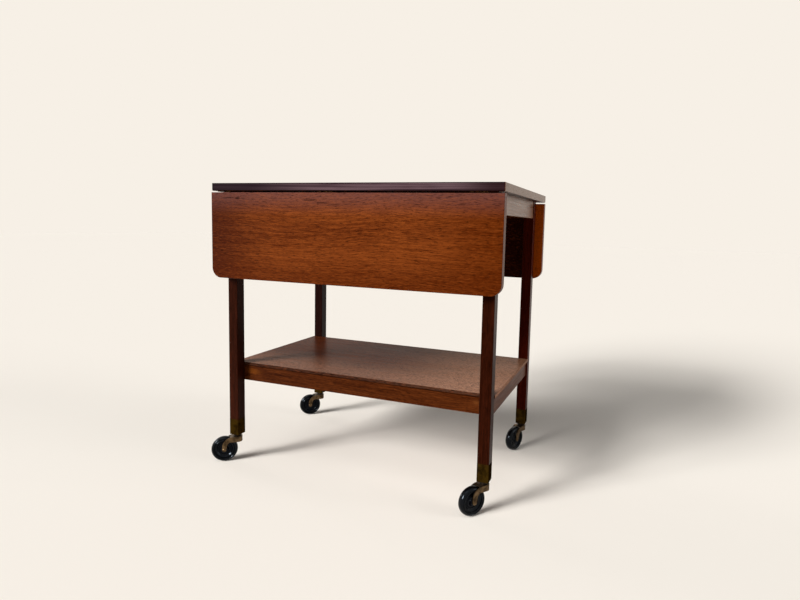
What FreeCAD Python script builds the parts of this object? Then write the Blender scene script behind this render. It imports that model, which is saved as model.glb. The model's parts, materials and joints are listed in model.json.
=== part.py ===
"""Drop leaf tea trolley: a teak top with two hanging leaves on four castored legs and a low shelf.

The frame is millimetres, +Z up, +X to the right along the long front, -Y to the front.
The origin is on the floor, under the middle of the table top. The leaves are modelled hanging.
"""
import FreeCAD, Part
import os
import re
import Sketcher
from FreeCAD import Placement, Rotation, Vector

# Driving dimensions, in millimetres and degrees.
SIZES = {
    "table_height": 690,
    "top_length": 710,
    "top_width": 468,
    "board_thickness": 18,
    "top_corner_radius": 3,
    "board_edge_radius": 1,
    "leaf_width": 202,
    "leaf_corner_radius": 24,
    "leaf_proud": 1,
    "leaf_hanging_gap": 3.5,
    "leaf_raised_gap": 2.5,
    "leaf_swing_clearance": 0.3,
    "leg_size": 26,
    "leg_end_inset": 20,
    "leg_side_inset": 30,
    "leg_edge_radius": 1.2,
    "rail_thickness": 18,
    "top_rail_height": 43,
    "end_rail_setback": 2,
    "shelf_height": 251,
    "shelf_thickness": 6.5,
    "shelf_end_reach": 1,
    "shelf_rail_height": 38.5,
    "shelf_rail_thickness": 16,
    "shelf_rail_setback": 5,
    "shadow_groove_height": 2,
    "shadow_groove_depth": 3,
    "dowel_radius": 3,
    "dowel_reach": 16,
    "dowel_first_height": 9,
    "dowel_pitch": 16,
    "dowel_stagger": 8,
    "shelf_dowel_shift": 4,
    "corner_block_leg": 30,
    "corner_block_height": 30,
    "fixing_screw_radius": 2,
    "fixing_head_radius": 4,
    "fixing_head_depth": 3,
    "fixing_screw_bite": 12,
    "fixing_screw_length": 32,
    "fixing_screw_offset": 180,
    "left_hinge_offset": 325,
    "middle_hinge_offset": 50,
    "right_hinge_offset": 300,
    "hinge_length": 38,
    "hinge_finger_length": 9,
    "hinge_plate_thickness": 1.6,
    "hinge_web_thickness": 2,
    "hinge_top_flap_width": 10,
    "hinge_leaf_flap_width": 28,
    "hinge_knuckle_radius": 3,
    "hinge_pin_radius": 1.5,
    "hinge_side_clearance": 0.3,
    "hinge_screw_radius": 1.4,
    "hinge_head_radius": 2.8,
    "hinge_head_depth": 1.2,
    "hinge_screw_length": 12,
    "hinge_screw_spread": 13,
    "hinge_screw_drop": 13,
    "support_pivot_offset": 200,
    "support_pivot_inset": 29,
    "support_reach": 112,
    "support_width": 12,
    "support_thickness": 2.4,
    "support_top_gap": 0.4,
    "pivot_screw_radius": 2,
    "pivot_head_radius": 4.5,
    "pivot_head_height": 1.8,
    "pivot_screw_length": 16,
    "running_clearance": 0.05,
    "slip_clearance": 0.3,
    "castor_height": 69,
    "cup_height": 40,
    "cup_wall": 1.2,
    "cup_floor": 2.5,
    "cup_edge_radius": 0.8,
    "cup_pin_radius": 1,
    "cup_pin_length": 10,
    "cup_pin_head_radius": 1.8,
    "cup_pin_head_height": 0.6,
    "cup_pin_height": 24,
    "cup_pin_stagger": 4,
    "race_radius": 9,
    "race_height": 6,
    "stem_radius": 4,
    "stem_head_radius": 6,
    "stem_head_height": 2,
    "stem_bore_clearance": 1,
    "stem_seat_depth": 10.5,
    "wheel_radius": 31.5,
    "wheel_width": 17,
    "tyre_depth": 10,
    "tyre_shoulder": 3,
    "wheel_web_width": 11,
    "wheel_boss_radius": 8,
    "castor_trail": 31,
    "axle_radius": 2.5,
    "axle_head_radius": 4,
    "axle_head_height": 1.4,
    "wheel_clearance": 1.5,
    "horn_side_gap": 1,
    "horn_arm_thickness": 2.6,
    "horn_crown_radius": 11.5,
    "horn_crown_height": 13,
    "horn_eye_radius": 5,
    "horn_neck_reach": 8,
    "horn_outer_radius": 26,
    "horn_inner_radius": 10,
    "swivel_front_left": 215,
    "swivel_front_right": 233,
    "swivel_rear_left": 218,
    "swivel_rear_right": 247,
}

# Places and fitted sizes, worked out from the driving dimensions.
PLACES = {
    "under_top": "table_height - board_thickness",
    "leg_outer_x": "top_length / 2 - leg_end_inset",
    "leg_outer_y": "top_width / 2 - leg_side_inset",
    "leg_inner_x": "leg_outer_x - leg_size",
    "leg_inner_y": "leg_outer_y - leg_size",
    "leg_centre_x": "leg_outer_x - leg_size / 2",
    "leg_centre_y": "leg_outer_y - leg_size / 2",
    "cup_rim": "castor_height + cup_height",
    "leg_foot": "castor_height + cup_floor",
    "tenon_size": "leg_size - 2 * cup_wall",
    "top_rail_bottom": "under_top - top_rail_height",
    "end_rail_outer": "leg_outer_x - end_rail_setback",
    "end_rail_inner": "end_rail_outer - rail_thickness",
    "shelf_under": "shelf_height - shelf_thickness",
    "shelf_half_length": "leg_outer_x + shelf_end_reach",
    "shelf_rail_bottom": "shelf_under - shelf_rail_height",
    "shelf_rail_outer_x": "shelf_half_length - shelf_rail_setback",
    "shelf_rail_inner_x": "shelf_rail_outer_x - shelf_rail_thickness",
    "hinge_inset": "(board_thickness + leaf_hanging_gap - leaf_raised_gap - leaf_proud) / 2",
    "hinge_depth": "hinge_inset + leaf_proud",
    "hinge_axis_y": "top_width / 2 - hinge_inset",
    "hinge_axis_z": "table_height - hinge_depth",
    "hinge_drop": "board_thickness - hinge_depth",
    "swing_radius": "hinge_inset + leaf_raised_gap - leaf_swing_clearance",
    "relief": "hinge_drop - sqrt(swing_radius^2 - hinge_inset^2)",
    "leaf_top": "under_top - leaf_hanging_gap",
    "leaf_bottom": "leaf_top - leaf_width",
    "leaf_outer_y": "top_width / 2 + leaf_proud",
    "leaf_inner_y": "leaf_outer_y - board_thickness",
    "strap_far": "hinge_drop + hinge_plate_thickness",
    "strap_near": "hinge_drop + hinge_side_clearance",
    "mortise_in": "strap_far + 2 * hinge_side_clearance",
    "mortise_out": "hinge_knuckle_radius + hinge_side_clearance",
    "flap_edge": "hinge_axis_y - mortise_in",
    "middle_finger_length": "hinge_length - 2 * (hinge_finger_length + hinge_side_clearance)",
    "leaf_flap_top": "leaf_top - hinge_side_clearance",
    "support_top": "under_top - support_top_gap",
    "support_bottom": "support_top - support_thickness",
    "support_pivot_y": "top_width / 2 - support_pivot_inset",
    "race_bottom": "castor_height - race_height",
    "crown_top": "race_bottom - slip_clearance",
    "crown_bottom": "crown_top - horn_crown_height",
    "slot_width": "wheel_width + 2 * horn_side_gap",
    "horn_width": "slot_width + 2 * horn_arm_thickness",
    "rim_radius": "wheel_radius - tyre_depth",
    "boss_width": "slot_width - 2 * slip_clearance",
    "stem_foot": "crown_top - stem_seat_depth",
    "stem_head_bottom": "leg_foot + slip_clearance",
    "stem_bore_top": "stem_head_bottom + stem_head_height + stem_bore_clearance",
}

OVERSHOOT = 1.0  # how far a cutting tool stands past the face it opens
TURNS = {
    "X": Rotation(Vector(0, 1, 0), 90),
    "-X": Rotation(Vector(0, 1, 0), -90),
    "Y": Rotation(Vector(1, 0, 0), -90),
    "-Y": Rotation(Vector(1, 0, 0), 90),
    "Z": Rotation(),
    "-Z": Rotation(Vector(1, 0, 0), 180),
}
SIDES = {"front": -1, "rear": 1}
ENDS = {"left": -1, "right": 1}

doc = FreeCAD.newDocument("drop_leaf_tea_trolley")
sizes = doc.addObject("Spreadsheet::Sheet", "Sizes")
places = doc.addObject("Spreadsheet::Sheet", "Places")
nodes = []


def link(text):
    """Give each dimension named in a formula the name of the sheet that holds it."""
    def owner(match):
        word = match.group(0)
        if word in SIZES:
            return "Sizes." + word
        if word in PLACES:
            return "Places." + word
        return word
    return re.sub(r"[a-z_]+[a-z]", owner, str(text))


def fill_sheets():
    """Write the driving dimensions as plain numbers and the fitted ones as formulas."""
    for row, (alias, value) in enumerate(SIZES.items(), start=1):
        sizes.set(f"A{row}", alias)
        sizes.set(f"B{row}", str(value))
        sizes.setAlias(f"B{row}", alias)
    doc.recompute()
    for row, (alias, formula) in enumerate(PLACES.items(), start=1):
        places.set(f"A{row}", alias)
        places.set(f"B{row}", "=" + link(formula))
        places.setAlias(f"B{row}", alias)
        doc.recompute()


def size(alias):
    """Read one dimension as a number."""
    sheet = sizes if alias in SIZES else places
    return float(sheet.get(alias))


def bind(item, prop, formula):
    """Tie a property of an object to a formula of the sheets."""
    item.setExpression(prop, link(formula))


def put(item, x=0, y=0, z=0):
    """Tie the place of an object to three formulas."""
    bind(item, "Placement.Base.x", x)
    bind(item, "Placement.Base.y", y)
    bind(item, "Placement.Base.z", z)
    return item


def keep(item, label):
    """Name a finished piece and add it to the pieces that are written."""
    item.Label = label
    nodes.append(item)
    return item


def box(x, y, z, length, width, height):
    """A box from its lowest corner and its three sizes."""
    item = doc.addObject("Part::Box", "Box")
    bind(item, "Length", length)
    bind(item, "Width", width)
    bind(item, "Height", height)
    return put(item, x, y, z)


def span(low_x, high_x, low_y, high_y, low_z, high_z):
    """A box between pairs of planes."""
    return box(low_x, low_y, low_z, f"({high_x}) - ({low_x})", f"({high_y}) - ({low_y})",
               f"({high_z}) - ({low_z})")


def rod(x, y, z, axis, length, radius):
    """A cylinder that starts at a point and runs along a signed axis."""
    item = doc.addObject("Part::Cylinder", "Rod")
    bind(item, "Height", length)
    bind(item, "Radius", radius)
    item.Placement = Placement(Vector(), TURNS[axis])
    return put(item, x, y, z)


def taper(x, y, z, axis, length, first_radius, last_radius):
    """A cone that starts at a point and runs along a signed axis."""
    item = doc.addObject("Part::Cone", "Taper")
    bind(item, "Height", length)
    bind(item, "Radius1", first_radius)
    bind(item, "Radius2", last_radius)
    item.Placement = Placement(Vector(), TURNS[axis])
    return put(item, x, y, z)


def fuse(*parts):
    """Join several shapes into one."""
    item = doc.addObject("Part::MultiFuse", "Fuse")
    item.Shapes = list(parts)
    item.Refine = True
    return item


def group(parts):
    """Hold separate solids in one piece."""
    item = doc.addObject("Part::Compound", "Group")
    item.Links = list(parts)
    return item


def cut(base, *tools):
    """Take the tools away from the base, one after the other."""
    for tool in tools:
        item = doc.addObject("Part::Cut", "Cut")
        item.Base = base
        item.Tool = tool
        item.Refine = True
        base = item
    return base


def screw(x, y, z, axis, length, radius, head_radius, head_depth):
    """A countersunk wood screw, driven from its head along a signed axis."""
    head = taper(x, y, z, axis, head_depth, head_radius, radius)
    shank = rod(x, y, z, axis, length, radius)
    return fuse(head, shank)


def plane_of(body, role):
    """Find one of a body's origin planes by its role."""
    return next(item for item in body.Origin.OriginFeatures if item.Role == role)


def sketch_on(body, role, height=0):
    """Start a sketch on an origin plane of its body, moved along the plane's normal."""
    sketch = body.newObject("Sketcher::SketchObject", "Sketch")
    sketch.AttachmentSupport = [(plane_of(body, role), "")]
    sketch.MapMode = "FlatFace"
    bind(sketch, "AttachmentOffset.Base.z", height)
    return sketch


def pin_point(sketch, geometry, point, axis, start, formula):
    """Tie one coordinate of a sketched point to a formula."""
    index = sketch.addConstraint(Sketcher.Constraint(axis, -1, 1, geometry, point, start))
    sketch.setExpression(f"Constraints[{index}]", link(formula))


def outline(sketch, corners):
    """Draw a closed polygon whose corners stand at pairs of formulas."""
    count = len(corners)
    turn = Rotation(Vector(0, 0, 1), 360 / count)
    ring = [Vector(10, 3, 0)]
    while len(ring) < count:
        ring.append(turn.multVec(ring[-1]))
    first = sketch.GeometryCount
    for index in range(count):
        sketch.addGeometry(Part.LineSegment(ring[index], ring[(index + 1) % count]))
    for index in range(count):
        follower = first + (index + 1) % count
        sketch.addConstraint(Sketcher.Constraint("Coincident", first + index, 2, follower, 1))
    for index, (x, y) in enumerate(corners):
        pin_point(sketch, first + index, 1, "DistanceX", ring[index].x, x)
        pin_point(sketch, first + index, 1, "DistanceY", ring[index].y, y)


def rectangle(sketch, half_x, half_y):
    """Draw a rectangle about the origin."""
    outline(sketch, [(f"-({half_x})", f"-({half_y})"), (half_x, f"-({half_y})"), (half_x, half_y),
                     (f"-({half_x})", half_y)])


def circle(sketch, x, y, radius):
    """Draw a circle whose centre and radius follow formulas."""
    index = sketch.addGeometry(Part.Circle(Vector(5, 5, 0), Vector(0, 0, 1), 2))
    pin_point(sketch, index, 3, "DistanceX", 5, x)
    pin_point(sketch, index, 3, "DistanceY", 5, y)
    bound = sketch.addConstraint(Sketcher.Constraint("Radius", index, 2))
    sketch.setExpression(f"Constraints[{bound}]", link(radius))


def new_body(name):
    """Start a body."""
    return doc.addObject("PartDesign::Body", name)


def pad(body, sketch, length, midplane=False):
    """Raise a sketch to a solid."""
    feature = body.newObject("PartDesign::Pad", "Pad")
    feature.Profile = sketch
    feature.Midplane = midplane
    bind(feature, "Length", length)
    return feature


def pocket(body, sketch, depth, reverse=False, midplane=False):
    """Sink a sketch into the solid and make sure that it took material away."""
    doc.recompute()
    before = body.Shape.Volume
    feature = body.newObject("PartDesign::Pocket", "Pocket")
    feature.Profile = sketch
    feature.Midplane = midplane
    feature.Reversed = reverse
    bind(feature, "Length", depth)
    doc.recompute()
    if body.Shape.Volume >= before:
        raise RuntimeError(f"a pocket of {body.Name} cuts nothing")
    return feature


def edges_in(feature, low, high):
    """Name the edges of a feature whose ends both lie in a box."""
    slack = 0.01
    found = []
    for index, edge in enumerate(feature.Shape.Edges, start=1):
        ends = [vertex.Point for vertex in edge.Vertexes]
        inside = all(low[axis] - slack <= end[axis] <= high[axis] + slack
                     for end in ends for axis in range(3))
        if ends and inside:
            found.append(f"Edge{index}")
    return found


def soften(body, base, edges, radius, kind="Fillet"):
    """Round or bevel named edges of the last feature of a body."""
    feature = body.newObject(f"PartDesign::{kind}", kind)
    feature.Base = (base, edges)
    bind(feature, "Radius" if kind == "Fillet" else "Size", radius)
    doc.recompute()
    return feature


def frame_dowels():
    """Dowels between the top rails and the legs, and between the shelf rails and the legs."""
    top = []
    shelf = []
    length = "2 * dowel_reach"
    for side in SIDES.values():
        for end in ENDS.values():
            for step in range(2):
                low = f"top_rail_bottom + dowel_first_height + {step} * dowel_pitch"
                start_y = f"{side} * leg_inner_y - dowel_reach"
                top.append(rod(f"{end} * (end_rail_outer - rail_thickness / 2)", start_y, low,
                               "Y", length, "dowel_radius"))
                start_x = f"{end} * leg_inner_x - dowel_reach"
                across = f"{side} * (leg_inner_y + rail_thickness / 2)"
                top.append(rod(start_x, across, f"{low} + dowel_stagger", "X", length,
                               "dowel_radius"))
                low = f"shelf_rail_bottom + dowel_first_height + {step} * dowel_pitch"
                shelf.append(rod(f"{end} * (shelf_rail_outer_x - shelf_rail_thickness / 2)",
                                 start_y, low, "Y", length, "dowel_radius"))
                start_x = f"{end} * (shelf_rail_inner_x - shelf_dowel_shift) - dowel_reach"
                across = f"{side} * (leg_inner_y - shelf_rail_thickness / 2)"
                shelf.append(rod(start_x, across, f"{low} + dowel_stagger", "X", length,
                                 "dowel_radius"))
    return keep(group(top), "top_frame_dowels"), keep(group(shelf), "shelf_frame_dowels")


def make_leg(label, side, end, dowels, pins):
    """A square leg with a shouldered foot that fills the castor cup."""
    body = new_body("Leg")
    post = sketch_on(body, "XY_Plane", "cup_rim")
    rectangle(post, "leg_size / 2", "leg_size / 2")
    shaft = pad(body, post, "under_top - cup_rim")
    doc.recompute()
    half = size("leg_size") / 2
    rim = size("cup_rim")
    top = size("under_top")
    upright = []
    for corner_x in (-half, half):
        for corner_y in (-half, half):
            upright += edges_in(shaft, (corner_x, corner_y, rim), (corner_x, corner_y, top))
    soften(body, shaft, upright, "leg_edge_radius")
    foot = sketch_on(body, "XY_Plane", "leg_foot")
    rectangle(foot, "tenon_size / 2", "tenon_size / 2")
    pad(body, foot, "cup_height - cup_floor")
    hole = sketch_on(body, "XY_Plane", "leg_foot")
    circle(hole, "0", "0", "stem_head_radius + stem_bore_clearance")
    pocket(body, hole, "stem_bore_top - leg_foot", reverse=True)
    put(body, f"{end} * leg_centre_x", f"{side} * leg_centre_y", 0)
    return keep(cut(body, *dowels, pins), label)


def make_top_rails(dowels, screws):
    """The apron under the top: two end rails set back from the legs, two long rails behind the leaves."""
    for name, end in ENDS.items():
        low, high = sorted_pair(end, "end_rail_inner", "end_rail_outer")
        rail = span(low, high, "-leg_inner_y", "leg_inner_y", "top_rail_bottom", "under_top")
        keep(cut(rail, dowels), f"{name}_top_rail")
    for name, side in SIDES.items():
        low, high = sorted_pair(side, "leg_inner_y", "leg_inner_y + rail_thickness")
        rail = span("-leg_inner_x", "leg_inner_x", low, high, "top_rail_bottom", "under_top")
        keep(cut(rail, dowels, screws), f"{name}_top_rail")


def sorted_pair(sign, near, far):
    """The lower and the upper plane of a span that stands on one side of the middle."""
    if sign > 0:
        return near, far
    return f"-({far})", f"-({near})"


def make_corner_blocks(screws):
    """Three-cornered blocks that stiffen the apron and carry the top."""
    blocks = []
    for side in SIDES.values():
        for end in ENDS.values():
            body = new_body("Block")
            sketch = sketch_on(body, "XY_Plane", "under_top - corner_block_height")
            corner_x = f"{end} * end_rail_inner"
            corner_y = f"{side} * leg_inner_y"
            outline(sketch, [
                (corner_x, corner_y),
                (f"{corner_x} - {end} * corner_block_leg", corner_y),
                (corner_x, f"{corner_y} - {side} * corner_block_leg"),
            ])
            pad(body, sketch, "corner_block_height")
            blocks.append(body)
    return keep(cut(group(blocks), screws), "apron_corner_blocks")


def top_fixing_screws():
    """Screws that hold the top down: one up each corner block and two up each long rail."""
    screws = []
    for side in SIDES.values():
        for end in ENDS.values():
            screws.append(screw(f"{end} * (end_rail_inner - corner_block_leg / 3)",
                                f"{side} * (leg_inner_y - corner_block_leg / 3)",
                                "under_top - corner_block_height", "Z",
                                "corner_block_height + fixing_screw_bite", "fixing_screw_radius",
                                "fixing_head_radius", "fixing_head_depth"))
            screws.append(screw(f"{end} * fixing_screw_offset",
                                f"{side} * (leg_inner_y + rail_thickness / 2)",
                                "under_top + fixing_screw_bite - fixing_screw_length", "Z",
                                "fixing_screw_length", "fixing_screw_radius",
                                "fixing_head_radius", "fixing_head_depth"))
    return keep(group(screws), "top_fixing_screws")


def rail_counterbores():
    """Bores up the long rails that let the fixing screws reach the top."""
    bores = []
    for side in SIDES.values():
        for end in ENDS.values():
            bores.append(rod(f"{end} * fixing_screw_offset",
                             f"{side} * (leg_inner_y + rail_thickness / 2)",
                             f"top_rail_bottom - {OVERSHOOT}", "Z",
                             "under_top + fixing_screw_bite - fixing_screw_length"
                             f" - top_rail_bottom + {OVERSHOOT}", "fixing_head_radius"))
    return group(bores)


def make_shelf(dowels):
    """The shelf panel on its four rails, with a shadow groove under the panel's edge."""
    body = new_body("Shelf")
    sketch = sketch_on(body, "XY_Plane", "shelf_under")
    rectangle(sketch, "shelf_half_length", "leg_inner_y")
    board = pad(body, sketch, "shelf_thickness")
    doc.recompute()
    half_x = size("shelf_half_length")
    half_y = size("leg_inner_y")
    top = size("shelf_height")
    soften(body, board, edges_in(board, (-half_x, -half_y, top), (half_x, half_y, top)),
           "board_edge_radius")
    keep(body, "shelf_panel")
    for name, side in SIDES.items():
        low, high = sorted_pair(side, "leg_inner_y - shelf_rail_thickness", "leg_inner_y")
        rail = span("-shelf_rail_inner_x", "shelf_rail_inner_x", low, high,
                    "shelf_rail_bottom", "shelf_under")
        groove_low, groove_high = sorted_pair(side, "leg_inner_y - shadow_groove_depth",
                                              f"leg_inner_y + {OVERSHOOT}")
        groove = span("-shelf_rail_outer_x", "shelf_rail_outer_x", groove_low, groove_high,
                      "shelf_under - shadow_groove_height", f"shelf_under + {OVERSHOOT}")
        keep(cut(rail, groove, dowels), f"{name}_shelf_rail")
    for name, end in ENDS.items():
        low, high = sorted_pair(end, "shelf_rail_inner_x", "shelf_rail_outer_x")
        rail = span(low, high, "-leg_inner_y", "leg_inner_y", "shelf_rail_bottom", "shelf_under")
        keep(cut(rail, dowels), f"{name}_shelf_rail")


def hinge_places(*chosen):
    """The side and the middle along the table of each hinge, three on each long side."""
    return [(side, middle) for side in chosen or SIDES.values()
            for middle in ("(-left_hinge_offset)", "(-middle_hinge_offset)", "right_hinge_offset")]


def make_table_top(screws, hinge_screws, pivots):
    """The fixed board of the top, relieved below where the leaves swing past."""
    body = new_body("Top")
    sketch = sketch_on(body, "XY_Plane", "under_top")
    rectangle(sketch, "top_length / 2", "top_width / 2")
    board = pad(body, sketch, "board_thickness")
    doc.recompute()
    half_x = size("top_length") / 2
    half_y = size("top_width") / 2
    under = size("under_top")
    top = size("table_height")
    upright = []
    for corner_x in (-half_x, half_x):
        for corner_y in (-half_y, half_y):
            upright += edges_in(board, (corner_x, corner_y, under), (corner_x, corner_y, top))
    rounded = soften(body, board, upright, "top_corner_radius")
    below = []
    for edge_y in (-half_y, half_y):
        below += edges_in(rounded, (-half_x, edge_y, under), (half_x, edge_y, under))
    relieved = soften(body, rounded, below, "relief", kind="Chamfer")
    rim = edges_in(relieved, (-half_x, -half_y, top), (half_x, half_y, top))
    soften(body, relieved, rim, "board_edge_radius")
    mortises = sketch_on(body, "XY_Plane", "under_top")
    for side, middle in hinge_places():
        low_y, high_y = sorted_pair(side, "hinge_axis_y - mortise_in", "hinge_axis_y + mortise_out")
        low_x = f"{middle} - hinge_length / 2 - hinge_side_clearance"
        high_x = f"{middle} + hinge_length / 2 + hinge_side_clearance"
        outline(mortises, [(low_x, low_y), (high_x, low_y), (high_x, high_y), (low_x, high_y)])
    pocket(body, mortises, "hinge_drop + hinge_knuckle_radius + hinge_side_clearance", reverse=True)
    return keep(cut(body, screws, hinge_screws, pivots), "table_top")


def hinge_pins():
    """The pins of the six hinges."""
    pins = [rod(f"{middle} - hinge_length / 2", f"{side} * hinge_axis_y", "hinge_axis_z", "X",
                "hinge_length", "hinge_pin_radius") for side, middle in hinge_places()]
    return keep(group(pins), "hinge_pins")


def hinge_top_screws():
    """Screws that hold the hinge flaps under the top."""
    screws = []
    for side, middle in hinge_places():
        for step in (-1, 0, 1):
            screws.append(screw(f"{middle} + {step} * hinge_screw_spread",
                                f"{side} * (flap_edge - hinge_top_flap_width / 2)",
                                "under_top - hinge_plate_thickness", "Z", "hinge_screw_length",
                                "hinge_screw_radius", "hinge_head_radius", "hinge_head_depth"))
    return keep(group(screws), "hinge_top_screws")


def make_top_flaps(pins, screws):
    """The hinge flaps under the top: a plate with two fingers that rise to the knuckles."""
    flaps = []
    plate_low = "under_top - hinge_plate_thickness"
    for side, middle in hinge_places():
        low, high = sorted_pair(side, "flap_edge - hinge_top_flap_width", "flap_edge")
        parts = [span(f"{middle} - hinge_length / 2", f"{middle} + hinge_length / 2", low, high,
                      plate_low, "under_top")]
        for hand in (-1, 1):
            first = f"{middle} + {hand} * (hinge_length - hinge_finger_length) / 2" \
                    " - hinge_finger_length / 2"
            last = f"{first} + hinge_finger_length"
            low, high = sorted_pair(side, "flap_edge", "hinge_axis_y + hinge_web_thickness / 2")
            parts.append(span(first, last, low, high, plate_low, "under_top"))
            low, high = sorted_pair(side, "hinge_axis_y - hinge_web_thickness / 2",
                                    "hinge_axis_y + hinge_web_thickness / 2")
            parts.append(span(first, last, low, high, plate_low, "hinge_axis_z"))
            parts.append(rod(first, f"{side} * hinge_axis_y", "hinge_axis_z", "X",
                             "hinge_finger_length", "hinge_knuckle_radius"))
        flaps.append(fuse(*parts))
    return keep(cut(group(flaps), pins, screws), "hinge_top_flaps")


def make_leaf(name, side):
    """One hanging leaf with its hinge flaps and screws."""
    body = new_body("Leaf")
    sketch = sketch_on(body, "XZ_Plane", f"-({side}) * (leaf_outer_y + leaf_inner_y) / 2")
    outline(sketch, [("-top_length / 2", "leaf_bottom"), ("top_length / 2", "leaf_bottom"),
                     ("top_length / 2", "leaf_top"), ("-top_length / 2", "leaf_top")])
    board = pad(body, sketch, "board_thickness", midplane=True)
    doc.recompute()
    half_x = size("top_length") / 2
    outer = side * size("leaf_outer_y")
    inner = side * size("leaf_inner_y")
    low_y = min(inner, outer)
    high_y = max(inner, outer)
    bottom = size("leaf_bottom")
    corners = []
    for corner_x in (-half_x, half_x):
        corners += edges_in(board, (corner_x, low_y, bottom), (corner_x, high_y, bottom))
    rounded = soften(body, board, corners, "leaf_corner_radius")
    face = edges_in(rounded, (-half_x, outer, bottom), (half_x, outer, size("leaf_top")))
    soften(body, rounded, face, "board_edge_radius")
    screws = []
    flaps = []
    low, high = sorted_pair(side, "hinge_axis_y - strap_far", "hinge_axis_y - hinge_drop")
    strap_low, strap_high = sorted_pair(side, "hinge_axis_y - strap_far",
                                        "hinge_axis_y - strap_near")
    web_low, web_high = sorted_pair(side, "hinge_axis_y - strap_far", "hinge_axis_y")
    for _, middle in hinge_places(side):
        first = f"{middle} - middle_finger_length / 2"
        last = f"{middle} + middle_finger_length / 2"
        plate = span(f"{middle} - hinge_length / 2", f"{middle} + hinge_length / 2", low, high,
                     "leaf_flap_top - hinge_leaf_flap_width", "leaf_flap_top")
        strap = span(first, last, strap_low, strap_high, "leaf_flap_top",
                     "hinge_axis_z + hinge_web_thickness / 2")
        web = span(first, last, web_low, web_high, "hinge_axis_z - hinge_web_thickness / 2",
                   "hinge_axis_z + hinge_web_thickness / 2")
        knuckle = rod(first, f"{side} * hinge_axis_y", "hinge_axis_z", "X",
                      "middle_finger_length", "hinge_knuckle_radius")
        bore = rod(f"{first} - {OVERSHOOT}", f"{side} * hinge_axis_y", "hinge_axis_z", "X",
                   f"middle_finger_length + {2 * OVERSHOOT}",
                   "hinge_pin_radius + running_clearance")
        flaps.append(cut(fuse(plate, strap, web, knuckle), bore))
        for step, row in ((-1, 0), (1, 0), (0, 1)):
            height = "leaf_flap_top - hinge_leaf_flap_width / 2 + hinge_screw_drop / 2" \
                     f" - {row} * hinge_screw_drop"
            screws.append(screw(f"{middle} + {step} * hinge_screw_spread",
                                f"{side} * (hinge_axis_y - strap_far)", height,
                                "Y" if side > 0 else "-Y", "hinge_screw_length",
                                "hinge_screw_radius", "hinge_head_radius", "hinge_head_depth"))
    driven = keep(group(screws), f"{name}_leaf_hinge_screws")
    keep(cut(body, driven), f"{name}_leaf")
    keep(cut(group(flaps), driven), f"{name}_leaf_hinge_flaps")


def support_pivots():
    """Round-headed pivot screws of the four swing-out leaf supports."""
    screws = []
    head_bottom = "support_bottom - slip_clearance - pivot_head_height"
    for side in SIDES.values():
        for end in ENDS.values():
            at_x = f"{end} * support_pivot_offset"
            at_y = f"{side} * support_pivot_y"
            head = rod(at_x, at_y, head_bottom, "Z", "pivot_head_height", "pivot_head_radius")
            shank = rod(at_x, at_y, head_bottom, "Z", "pivot_screw_length", "pivot_screw_radius")
            screws.append(fuse(head, shank))
    return keep(group(screws), "support_pivot_screws")


def make_support(label, side, end):
    """A flat metal bar that swings out over the hanging leaf's edge to carry the raised leaf."""
    body = new_body("Support")
    sketch = sketch_on(body, "XY_Plane", "support_bottom")
    half = "support_width / 2"
    reach = f"-({end}) * support_reach"
    if end > 0:
        first, last = reach, "0"
    else:
        first, last = "0", reach
    outline(sketch, [(f"{first} - {half}", f"-{half}"), (f"{last} + {half}", f"-{half}"),
                     (f"{last} + {half}", half), (f"{first} - {half}", half)])
    bar = pad(body, sketch, "support_thickness")
    doc.recompute()
    low_x, high_x = sorted((0.0, -end * size("support_reach")))
    half_width = size("support_width") / 2
    ends = []
    for corner_x in (low_x - half_width, high_x + half_width):
        for corner_y in (-half_width, half_width):
            ends += edges_in(bar, (corner_x, corner_y, size("support_bottom")),
                             (corner_x, corner_y, size("support_top")))
    soften(body, bar, ends, "support_width / 2 - slip_clearance")
    hole = sketch_on(body, "XY_Plane", "support_bottom")
    circle(hole, "0", "0", "pivot_screw_radius + running_clearance")
    pocket(body, hole, "support_thickness", reverse=True)
    put(body, f"{end} * support_pivot_offset", f"{side} * support_pivot_y", 0)
    keep(body, label)


def make_cup(label, side, end, pins):
    """The square brass cup on a leg's foot."""
    body = new_body("Cup")
    sketch = sketch_on(body, "XY_Plane", "castor_height")
    rectangle(sketch, "leg_size / 2", "leg_size / 2")
    block = pad(body, sketch, "cup_height")
    doc.recompute()
    half = size("leg_size") / 2
    low = size("castor_height")
    high = size("cup_rim")
    edges = edges_in(block, (-half, -half, low), (half, half, low))
    for corner_x in (-half, half):
        for corner_y in (-half, half):
            edges += edges_in(block, (corner_x, corner_y, low), (corner_x, corner_y, high))
    soften(body, block, edges, "cup_edge_radius")
    inside = sketch_on(body, "XY_Plane", "leg_foot")
    rectangle(inside, "tenon_size / 2", "tenon_size / 2")
    pocket(body, inside, f"cup_height + {OVERSHOOT}", reverse=True)
    hole = sketch_on(body, "XY_Plane", "castor_height")
    circle(hole, "0", "0", "stem_radius + running_clearance")
    pocket(body, hole, f"cup_floor + {OVERSHOOT}", reverse=True)
    put(body, f"{end} * leg_centre_x", f"{side} * leg_centre_y", 0)
    return keep(cut(body, pins), label)


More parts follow.
